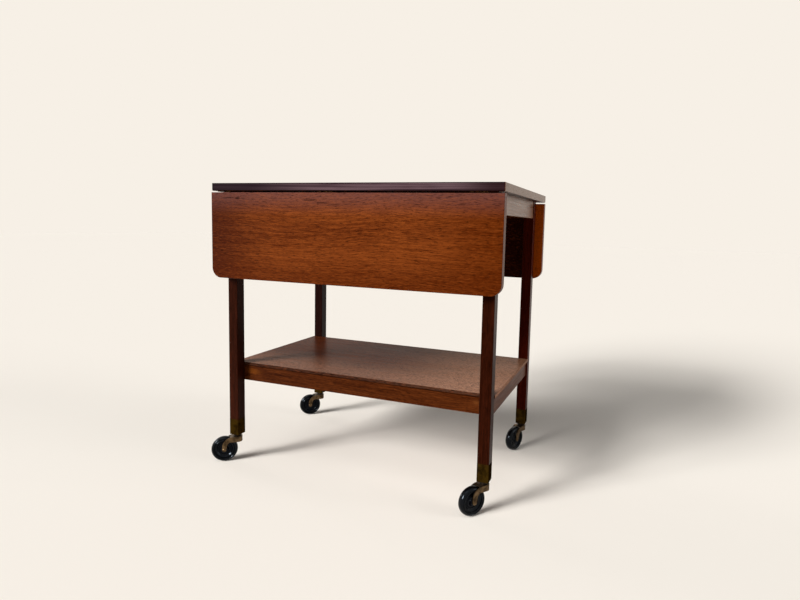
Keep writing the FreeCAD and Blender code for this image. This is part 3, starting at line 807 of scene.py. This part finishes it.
class Finishes:
    """The trolley's finishes, one material each, made once."""

    def __init__(self) -> None:
        """Start with none made."""
        self.made: dict[str, bpy.types.Material] = {}

    def get(self, finish: Finish) -> bpy.types.Material:
        """The material of a finish, made the first time it is asked for.

        Args:
            finish: The finish.

        Returns:
            Its material.
        """
        if finish.name not in self.made:
            self.made[finish.name] = finish.material()
        return self.made[finish.name]


# The boards' faces, from the middle or from the floor.
TOP_END = 355 * MM
TOP_EDGE = 234 * MM
TOP_LOW, TOP_HIGH = 672 * MM, 690 * MM
LEAF_INNER, LEAF_OUTER = 217 * MM, 235 * MM

TEAK_DARK = srgb(66, 23, 4)
TEAK_MIDDLE = srgb(94, 42, 12)
TEAK_LIGHT = srgb(118, 57, 19)
FRONT_INNER_FACE = Zone(Axis.DEPTH, Side.HIGH, -LEAF_INNER - PLANE_BLEND, PLANE_BLEND, srgb(66, 26, 8))
# Painted shade: the rear leaf's inner face is painted near-black for the shade it hangs in under the top.
REAR_INNER_PAINTED_SHADE = Zone(Axis.DEPTH, Side.LOW, -LEAF_INNER - PLANE_BLEND, PLANE_BLEND, srgb(34, 8, 4))
STREAK = srgb(34, 12, 6)


def leaf_teak(name: str, shift: Triple, tilt: float, zones: tuple[Zone, ...],
              knots: tuple[Knot, ...] = ()) -> TeakFinish:
    """The teak of one leaf.

    Args:
        name: The material's name.
        shift: Where in the pattern the board is cut from.
        tilt: How far the grain leans, in radians.
        zones: Parts that shade into another colour, some of them painted shade, light and sheen.
        knots: Small dark marks.

    Returns:
        The finish.
    """
    return TeakFinish(name, Axis.LENGTH, TEAK_DARK, TEAK_MIDDLE, TEAK_LIGHT, shift, tilt, zones=zones,
                      knots=knots)


TOP_TEAK = TeakFinish(
    "teak_top", Axis.LENGTH, srgb(78, 33, 12), srgb(106, 51, 20), srgb(130, 68, 31), (3.1, 0.4, 0.2),
    roughness=0.3,
    # Painted reflection: the slab's end faces are painted pale taupe for the pale studio they reflect at a
    # grazing angle.
    zones=(Zone(Axis.LENGTH, Side.BOTH, TOP_END - PLANE_BLEND, PLANE_BLEND, srgb(138, 118, 105), 0.9),
           # Painted shade: the slab's underside is painted near-black for the shade under the top.
           Zone(Axis.HEIGHT, Side.LOW, -TOP_LOW - PLANE_BLEND, PLANE_BLEND, srgb(26, 12, 10))),
    # The front and rear edge band; its near-black arris colour is painted shade on the rounded arrises.
    band=EdgeBand(TOP_EDGE - 0.5 * MM, TOP_LOW, TOP_HIGH, srgb(46, 30, 35), srgb(90, 70, 75), srgb(16, 6, 9),
                  # Painted shade: the band darkens towards its left end, to near-black at the left arris.
                  (Zone(Axis.LENGTH, Side.LOW, 260 * MM, 240 * MM, srgb(12, 2, 10), 0.85),
                   Zone(Axis.LENGTH, Side.LOW, 353 * MM, 5 * MM, srgb(2, 1, 6), 0.9),
                   Zone(Axis.LENGTH, Side.HIGH, 340 * MM, 130 * MM, srgb(24, 6, 7), 0.85))))
FRONT_LEAF_TEAK = leaf_teak(
    "teak_front_leaf", (0.7, 1.3, 0.9), -0.03,
    # Painted shade: the leaf darkens towards its left end.
    (Zone(Axis.LENGTH, Side.LOW, 360 * MM, 190 * MM, srgb(46, 10, 3), 0.8),
     Zone(Axis.LENGTH, Side.HIGH, 360 * MM, 190 * MM, srgb(68, 22, 0), 0.6),
     Zone(Axis.HEIGHT, Side.LOW, -466 * MM, 80 * MM, srgb(64, 20, 2), 0.5),
     # Painted sheen: a paler, greyer band under the leaf's top edge stands in for its reflection.
     Zone(Axis.HEIGHT, Side.HIGH, 672 * MM, 60 * MM, srgb(94, 60, 56), 0.62),
     # Painted shade on the leaf's left and lower arrises.
     Zone(Axis.LENGTH, Side.LOW, TOP_END - PLANE_BLEND, 1.2 * MM, srgb(16, 4, 3), 0.9),
     Zone(Axis.HEIGHT, Side.LOW, -466.4 * MM, 1.2 * MM, srgb(30, 8, 3), 0.7),
     FRONT_INNER_FACE),
    (Knot((-278.6 * MM, -LEAF_OUTER, 655.3 * MM), (9 * MM, 9 * MM, 4.6 * MM), STREAK, 1.0),
     Knot((-305 * MM, -LEAF_OUTER, 656 * MM), (26 * MM, 9 * MM, 2.2 * MM), STREAK, 0.75),
     Knot((-268 * MM, -LEAF_OUTER, 640 * MM), (34 * MM, 9 * MM, 2.0 * MM), STREAK, 0.5),
     Knot((-80 * MM, -LEAF_OUTER, 652 * MM), (26 * MM, 9 * MM, 2.4 * MM), STREAK, 0.8),
     Knot((-50 * MM, -LEAF_OUTER, 646 * MM), (22 * MM, 9 * MM, 2.0 * MM), STREAK, 0.8),
     Knot((-20 * MM, -LEAF_OUTER, 643 * MM), (22 * MM, 9 * MM, 1.8 * MM), STREAK, 0.7)))
REAR_LEAF_TEAK = leaf_teak(
    "teak_rear_leaf", (4.7, 2.3, 1.9), 0.04,
    (REAR_INNER_PAINTED_SHADE,
     # Painted light: the inner face turns bright orange again at its right end, where it stands out past the
     # leg into the light.
     Zone(Axis.LENGTH, Side.HIGH, 338 * MM, 24 * MM, srgb(160, 68, 7), within=REAR_INNER_PAINTED_SHADE)))
FRONT_LEG_TEAK = TeakFinish("teak_front_legs", Axis.HEIGHT, srgb(28, 7, 2), srgb(38, 12, 4),
                            srgb(52, 19, 8), (0.3, 2.2, 0.6), contrast=0.8, sheen=0.08)
# The rear legs are copies of the front legs' teak with light and shade painted in: the rear left is painted
# darker for painted shade.
REAR_LEFT_PAINTED_SHADE_TEAK = TeakFinish("teak_rear_left_leg_painted_shade", Axis.HEIGHT, srgb(20, 5, 4), srgb(28, 10, 7),
                            srgb(38, 16, 11), (0.9, 1.2, 1.6), contrast=0.8)
# The rear right copy is painted redder and brighter for painted light.
REAR_RIGHT_PAINTED_LIGHT_TEAK = TeakFinish("teak_rear_right_leg_painted_light", Axis.HEIGHT, srgb(42, 7, 2), srgb(56, 12, 3),
                             srgb(72, 20, 7), (1.9, 2.2, 0.6), contrast=0.8)
APRON_TEAK = TeakFinish("teak_apron", Axis.LENGTH, srgb(44, 18, 9), srgb(62, 28, 14),
                        srgb(80, 40, 22), (1.3, 5.1, 0.1))
END_RAIL_TEAK = TeakFinish("teak_end_rails", Axis.DEPTH, srgb(80, 44, 20), srgb(103, 62, 32),
                           srgb(124, 80, 46), (2.3, 1.1, 4.1), sheen=0.5, facing=1.0, roughness=0.3)
SHELF_TEAK = TeakFinish("teak_shelf", Axis.LENGTH, srgb(52, 18, 6), srgb(70, 29, 12),
                        srgb(94, 47, 23), (5.3, 0.1, 2.1), contrast=2.2, sheen=0.016, facing=0.5,
                        roughness=0.32,
                        # Painted reflection: the shelf is painted paler and greyer towards its right end and
                        # its front, for the sheen seen there.
                        zones=(Zone(Axis.LENGTH, Side.HIGH, 300 * MM, 330 * MM, srgb(208, 152, 116), 0.47),
                               Zone(Axis.DEPTH, Side.LOW, 170 * MM, 170 * MM, srgb(196, 144, 116), 0.40),
                               Zone(Axis.DEPTH, Side.BOTH, 177.7 * MM, 0.6 * MM, srgb(30, 10, 5), 0.9)))
SHELF_RAIL_TEAK = TeakFinish(
    "teak_shelf_rails", Axis.LENGTH, srgb(44, 14, 3), srgb(62, 26, 7), srgb(84, 40, 14), (1.3, 5.1, 0.1),
    knots=(Knot((-281 * MM, -178 * MM, 230 * MM), (30 * MM, 12 * MM, 11 * MM), srgb(120, 64, 17), 0.36),
           Knot((296 * MM, -178 * MM, 230 * MM), (12 * MM, 12 * MM, 8 * MM), srgb(104, 58, 26), 0.5)))
SHELF_END_TEAK = TeakFinish("teak_shelf_ends", Axis.DEPTH, srgb(56, 24, 12), srgb(78, 38, 20),
                            srgb(98, 54, 30), (2.9, 1.7, 4.1), sheen=0.2)
LEG_TEAK = {Corner.FRONT_LEFT: FRONT_LEG_TEAK, Corner.FRONT_RIGHT: FRONT_LEG_TEAK,
            Corner.REAR_LEFT: REAR_LEFT_PAINTED_SHADE_TEAK, Corner.REAR_RIGHT: REAR_RIGHT_PAINTED_LIGHT_TEAK}
BLOCK_WOOD = RawWoodFinish("raw_blocks", srgb(150, 116, 76), srgb(112, 80, 48))
CUP_BRASS = MetalFinish("brass_cups", srgb(56, 40, 10), srgb(30, 19, 4), 0.6, 0.46, edge=(0.10, 0.08, 0.05))
FORK_BRASS = MetalFinish("brass_forks", srgb(106, 86, 62), srgb(52, 40, 26), 0.6, 0.32)
HINGE_BRASS = MetalFinish("brass_hinges", srgb(92, 64, 38), srgb(48, 30, 18), 0.6, 0.4)
DULL_STEEL = MetalFinish("dull_steel", srgb(120, 117, 112), srgb(66, 60, 54), 0.4, 0.35)
DARK_STEEL = MetalFinish("dark_steel", srgb(60, 54, 48), srgb(26, 20, 17), 0.7, 0.4)
TYRE_RUBBER = RubberFinish("black_rubber", srgb(3, 3, 5), srgb(30, 28, 29), 0.10, 0.16)
DISC_PLASTIC = RubberFinish("black_disc", srgb(3, 4, 9), srgb(30, 22, 20), 0.08, 0.2)


def dress(node: bpy.types.Object, material: bpy.types.Material) -> None:
    """Give a solid's object one material.

    Args:
        node: The solid's object.
        material: Its material.
    """
    node.data.materials.clear()
    node.data.materials.append(material)


def finish_mesh(mesh: bmesh.types.BMesh, name: str, body: str, material: bpy.types.Material,
                replaced: Iterable[str] = ()) -> bpy.types.Object:
    """Make an object of a finished mesh, and let it ride and stand for its solids.

    Args:
        mesh: The mesh, in the row frame.
        name: The object's name.
        body: The body that it rides on.
        material: Its material.
        replaced: The solids that it stands for.

    Returns:
        The object.
    """
    bmesh.ops.remove_doubles(mesh, verts=mesh.verts, dist=SAME_VERTEX)
    bmesh.ops.recalc_face_normals(mesh, faces=mesh.faces)
    data = bpy.data.meshes.new(name)
    mesh.to_mesh(data)
    mesh.free()
    data.shade_smooth()
    data.set_sharp_from_angle(angle=math.radians(SHARP_DEGREES))
    data.materials.append(material)
    piece = bpy.data.objects.new(name, data)
    bpy.context.scene.collection.objects.link(piece)
    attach(piece, body)
    if replaced:
        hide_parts(*replaced)
    return piece


def spun(profile: Profile, centre: Vector, axis: Vector, steps: int) -> bmesh.types.BMesh:
    """Turn a closed profile about an axis.

    Args:
        profile: Pairs of a distance along the axis and a radius, in metres.
        centre: A point on the axis, where the distance is 0.
        axis: The axis, of length 1.
        steps: How many steps the turn has.

    Returns:
        The turned mesh.
    """
    mesh = bmesh.new()
    out = Vector((0, 0, 1)) if abs(axis.z) < NEARLY_UPRIGHT else Vector((1, 0, 0))
    verts = [mesh.verts.new(centre + axis * along + out * radius) for along, radius in profile]
    edges = [mesh.edges.new(pair) for pair in zip(verts, verts[1:] + verts[:1])]
    bmesh.ops.spin(mesh, geom=[*verts, *edges], cent=centre, axis=axis, dvec=(0, 0, 0),
                   angle=math.tau, steps=steps, use_merge=True)
    return mesh


@dataclass
class Group:
    """Solids that are dressed together.

    Attributes:
        finishes: The trolley's finishes.
        nodes: The solids' objects by name.
    """

    finishes: Finishes
    nodes: dict[str, bpy.types.Object]

    def give(self, finish: Finish, *names: str) -> None:
        """Give solids a finish.

        Args:
            finish: The finish.
            *names: The solids' names.
        """
        for name in names:
            dress(self.nodes[name], self.finishes.get(finish))


class Boards(Group):
    """The fixed top and its two leaves."""

    def dress(self) -> None:
        """Give the boards their teak."""
        self.give(TOP_TEAK, "table_top")
        self.give(FRONT_LEAF_TEAK, "front_leaf")
        self.give(REAR_LEAF_TEAK, "rear_leaf")
        LOG.info("boards dressed")


class Frame(Group):
    """The legs, the apron under the top and the fittings hidden in it."""

    def dress(self) -> None:
        """Give the frame its finishes."""
        for corner in Corner:
            self.give(LEG_TEAK[corner], f"{corner.value}_leg")
        self.give(APRON_TEAK, "front_top_rail", "rear_top_rail")
        self.give(END_RAIL_TEAK, "left_top_rail", "right_top_rail")
        self.give(BLOCK_WOOD, "apron_corner_blocks", "top_frame_dowels", "shelf_frame_dowels")
        self.give(DULL_STEEL, "top_fixing_screws")
        LOG.info("frame dressed")


class Shelf(Group):
    """The low shelf and its four rails."""

    def dress(self) -> None:
        """Give the shelf its teak."""
        self.give(SHELF_TEAK, "shelf_panel")
        self.give(SHELF_RAIL_TEAK, "front_shelf_rail", "rear_shelf_rail")
        self.give(SHELF_END_TEAK, "left_shelf_rail", "right_shelf_rail")
        LOG.info("shelf dressed")


class LeafFittings(Group):
    """The leaves' hinges, their screws and the swing-out supports."""

    def dress(self) -> None:
        """Give the fittings their metals."""
        self.give(HINGE_BRASS, "hinge_top_flaps", "front_leaf_hinge_flaps", "rear_leaf_hinge_flaps",
                  "hinge_pins")
        self.give(DULL_STEEL, "hinge_top_screws", "front_leaf_hinge_screws", "rear_leaf_hinge_screws",
                  "support_pivot_screws")
        self.give(DARK_STEEL, *(f"{corner.value}_leaf_support" for corner in Corner))
        LOG.info("leaf fittings dressed")


class CastorFittings(Group):
    """The pins of all four cups and the rings that the castors swivel on."""

    def dress(self) -> None:
        """Give the fittings their metals."""
        self.give(CUP_BRASS, "castor_cup_pins")
        self.give(DARK_STEEL, "castor_swivel_rings")
        LOG.info("castor fittings dressed")


@dataclass
class Castor(Group):
    """One castor: its cup, fork, stem, axle, wheel centre and tyre.

    Attributes:
        corner: Where the castor is.
        joints: The trolley's joints, as the frame lists them.
        radius: The tyre's outer radius, in metres.
        half_width: Half the tyre's width, in metres.
        rim_radius: The radius of the rim under the tyre, in metres.
        rim_half: Half the rim's width, in metres.
        boss_half: Half the boss's length, in metres.
        boss_radius: The boss's radius, in metres.
        bore_radius: The radius of the hole for the axle, in metres.
        tyre_wall: The tyre's side, in mm in from the widest part and out from the rim.
        tyre_tread: Its shoulder, in mm in from the widest part and in from the outer radius.
        disc_face: The dished face of the centre, in mm in from the rim's face and out from the boss.
        steps: How many steps each turned piece has.
        centre: The middle of the wheel, in metres.
        axis: The wheel's axis.
    """

    corner: Corner
    joints: list[dict[str, Any]]
    radius: float = 31.5 * MM
    half_width: float = 8.5 * MM
    rim_radius: float = 21.5 * MM
    rim_half: float = 5.5 * MM
    boss_half: float = 9.2 * MM
    boss_radius: float = 8.0 * MM
    bore_radius: float = 2.55 * MM
    tyre_wall: Profile = ((1.6, 0.2), (1.6, 0.5), (0.4, 1.3), (0.3, 2.0), (0.9, 2.7), (1.5, 3.1),
                          (1.5, 3.6), (0.5, 4.3), (0.0, 5.2), (0.3, 6.2), (1.0, 7.1))
    tyre_tread: Profile = ((2.1, 1.9), (3.4, 1.0), (5.0, 0.4))
    disc_face: Profile = ((0.6, 0.6), (2.2, 2.2), (2.4, 4.0), (0.9, 5.0), (0.8, 5.9), (2.3, 7.0),
                          (2.4, 8.6))
    steps: int = 96
    centre: Vector = field(init=False)
    axis: Vector = field(init=False)

    def __post_init__(self) -> None:
        """Read where the wheel turns from its joint."""
        joint = next(item for item in self.joints if item["name"] == f"{self.corner.value}_wheel_spin")
        self.centre = Vector(joint["pos_m"])
        self.axis = Vector(joint["axis"]).normalized()

    def _both_sides(self, half: Profile) -> Profile:
        """A whole profile from its half on one side of the wheel.

        Args:
            half: Points from the inner edge outwards, along the axis and by radius.

        Returns:
            The points of both sides, in order.
        """
        other = [(-along, radius) for along, radius in reversed(half) if along > 0]
        return [*half, *other]

    def tyre(self) -> bpy.types.Object:
        """Turn the tyre: a rounded tread and side walls with raised rings.

        Returns:
            The tyre.
        """
        half = [(self.rim_half, self.rim_radius)]
        half += [(self.half_width - inwards * MM, self.rim_radius + outwards * MM)
                 for inwards, outwards in self.tyre_wall]
        half += [(self.half_width - inwards * MM, self.radius - under * MM)
                 for inwards, under in self.tyre_tread]
        half.append((0.0, self.radius))
        mesh = spun(self._both_sides(half), self.centre, self.axis, self.steps)
        name = f"{self.corner.value}_turned_tyre"
        return finish_mesh(mesh, name, f"{self.corner.value}_wheel",
                           self.finishes.get(TYRE_RUBBER), [f"{self.corner.value}_wheel_tyre"])

    def disc(self) -> bpy.types.Object:
        """Turn the wheel's centre: a dished disc with a raised ring and a boss.

        Returns:
            The disc.
        """
        half = [(self.boss_half, self.bore_radius), (self.boss_half, self.boss_radius - 1.2 * MM),
                (self.boss_half - 0.5 * MM, self.boss_radius - 0.4 * MM)]
        half += [(self.rim_half - inwards * MM, self.boss_radius + outwards * MM)
                 for inwards, outwards in self.disc_face]
        half += [(self.rim_half - 0.9 * MM, self.rim_radius - 3.0 * MM),
                 (self.rim_half, self.rim_radius - 2.0 * MM), (self.rim_half, self.rim_radius)]
        mesh = spun(self._both_sides(half), self.centre, self.axis, self.steps)
        name = f"{self.corner.value}_turned_disc"
        return finish_mesh(mesh, name, f"{self.corner.value}_wheel",
                           self.finishes.get(DISC_PLASTIC), [f"{self.corner.value}_wheel_centre"])

    def build(self) -> None:
        """Build the wheel and dress the metal parts."""
        LOG.info("built %s", self.tyre().name)
        LOG.info("built %s", self.disc().name)
        corner = self.corner.value
        self.give(CUP_BRASS, f"{corner}_castor_cup")
        self.give(FORK_BRASS, f"{corner}_castor_fork", f"{corner}_wheel_axle")
        self.give(DARK_STEEL, f"{corner}_castor_stem")


@dataclass(frozen=True)
class SoftLight:
    """A broad far light.

    Attributes:
        name: The light's name.
        toward: Where it shines from.
        share: How much of the floor's light it gives.
        spread: How wide it is, in degrees.
        distance: How far from the trolley its object is kept, in metres.
    """

    name: str
    toward: Triple
    share: float
    spread: float
    distance: float = 4.0

    def hang(self) -> None:
        """Hang the light."""
        direction = Vector(self.toward).normalized()
        light = bpy.data.lights.new(self.name, "SUN")
        light.energy = self.share * math.pi / direction.z
        light.angle = math.radians(self.spread)
        lamp = bpy.data.objects.new(self.name, light)
        lamp.rotation_mode = "QUATERNION"
        lamp.rotation_quaternion = direction.to_track_quat("Z", "Y")
        lamp.location = direction * self.distance
        bpy.context.scene.collection.objects.link(lamp)


@dataclass
class Studio:
    """The pale seamless studio, its soft light and the camera.

    Attributes:
        cream: The colour of the floor and the backdrop.
        floor_size: The floor's length and width, in metres.
        sky_strength: How much of the floor's light comes evenly from all round.
        lights: The broad far lights.
        eye: Where the camera stands, in metres.
        yaw: How far it is turned to the left, in radians.
        pitch: How far it looks up, in radians.
        roll: How far it leans, in radians.
        focal_pixels: Its focal length, in pixels of the picture.
        middle_pixels: Where in the picture it looks, in pixels from the top left.
        image_size: The picture's width and height that these pixels are of.
        clip_end: How far it sees, in metres.
    """

    cream: Colour = srgb(247, 240, 230)
    floor_size: float = 40.0
    sky_strength: float = 0.10
    lights: tuple[SoftLight, ...] = (
        SoftLight("low_key", (-0.467, -0.801, 0.374), 0.308, 16.0),
        SoftLight("soft_key", (-0.539, -0.687, 0.487), 0.300, 16.0),
        SoftLight("high_key", (-0.520, -0.653, 0.551), 0.089, 18.0),
        SoftLight("side_key", (-0.943, 0.227, 0.242), 0.033, 16.0),
        SoftLight("top_fill", (-0.116, -0.397, 0.910), 0.100, 28.7),
        SoftLight("right_fill", (0.929, 0.068, 0.363), 0.070, 24.0))
    eye: Triple = (0.60654, -1.28151, 0.60206)
    yaw: float = 0.36013
    pitch: float = -0.09736
    roll: float = 0.02549
    focal_pixels: float = 550.93
    middle_pixels: tuple[float, float] = (433.295, 279.835)
    image_size: tuple[int, int] = (800, 600)
    clip_end: float = 100.0

    def sky(self) -> None:
        """Light the studio evenly and show the pale backdrop to the camera and to gloss."""
        world = bpy.data.worlds.new("studio")
        bpy.context.scene.world = world
        world.use_nodes = True
        tree = world.node_tree
        tree.nodes.clear()
        output = tree.nodes.new("ShaderNodeOutputWorld")
        even = tree.nodes.new("ShaderNodeBackground")
        even.inputs["Color"].default_value = (1.0, 1.0, 1.0, 1.0)
        even.inputs["Strength"].default_value = self.sky_strength
        backdrop = tree.nodes.new("ShaderNodeBackground")
        backdrop.inputs["Color"].default_value = (*self.cream, 1.0)
        backdrop.inputs["Strength"].default_value = 1.0
        rays = tree.nodes.new("ShaderNodeLightPath")
        seen = tree.nodes.new("ShaderNodeMath")
        seen.operation = "MAXIMUM"
        tree.links.new(rays.outputs["Is Camera Ray"], seen.inputs[0])
        tree.links.new(rays.outputs["Is Glossy Ray"], seen.inputs[1])
        choice = tree.nodes.new("ShaderNodeMixShader")
        tree.links.new(seen.outputs["Value"], choice.inputs["Fac"])
        tree.links.new(even.outputs["Background"], choice.inputs[1])
        tree.links.new(backdrop.outputs["Background"], choice.inputs[2])
        tree.links.new(choice.outputs["Shader"], output.inputs["Surface"])

    def floor(self) -> None:
        """Lay the pale floor that keeps the shadow."""
        mesh = bmesh.new()
        bmesh.ops.create_grid(mesh, x_segments=1, y_segments=1, size=self.floor_size / 2)
        data = bpy.data.meshes.new("studio_floor")
        mesh.to_mesh(data)
        mesh.free()
        graph = ShaderGraph("floor_paper")
        graph.set(Base_Color=self.cream, Roughness=0.9, Specular_IOR_Level=0.0)
        data.materials.append(graph.material)
        floor = bpy.data.objects.new("studio_floor", data)
        bpy.context.scene.collection.objects.link(floor)

    def camera(self) -> None:
        """Stand the camera where the trolley is seen from the front right, just under its top."""
        ahead = Vector((-math.sin(self.yaw) * math.cos(self.pitch),
                        math.cos(self.yaw) * math.cos(self.pitch), math.sin(self.pitch)))
        level = ahead.cross(Vector((0, 0, 1))).normalized()
        above = level.cross(ahead)
        cosine, sine = math.cos(self.roll), math.sin(self.roll)
        right = level * cosine + above * sine
        up = above * cosine - level * sine
        data = bpy.data.cameras.new("camera")
        data.sensor_fit = "HORIZONTAL"
        width, height = self.image_size
        data.lens = self.focal_pixels / width * data.sensor_width
        data.shift_x = (width / 2 - self.middle_pixels[0]) / width
        data.shift_y = (self.middle_pixels[1] - height / 2) / width
        data.clip_end = self.clip_end
        camera = bpy.data.objects.new("camera", data)
        camera.matrix_world = Matrix.Translation(self.eye) @ Matrix((right, up, -ahead)).transposed().to_4x4()
        bpy.context.scene.collection.objects.link(camera)
        bpy.context.scene.camera = camera

    def build(self) -> None:
        """Build the studio."""
        self.sky()
        for light in self.lights:
            light.hang()
        self.floor()
        self.camera()
        bpy.context.scene.view_settings.view_transform = "Standard"
        LOG.info("studio built")


def main() -> None:
    """Load the solids, dress them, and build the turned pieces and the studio."""
    logging.basicConfig(level=logging.INFO, format="%(name)s: %(message)s")
    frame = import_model()
    nodes = frame["nodes"]
    finishes = Finishes()
    Studio().build()
    for group in (Boards, Frame, Shelf, LeafFittings, CastorFittings):
        group(finishes, nodes).dress()
    for corner in Corner:
        Castor(finishes, nodes, corner, frame["joints"]).build()


if __name__ == "__main__":
    main()
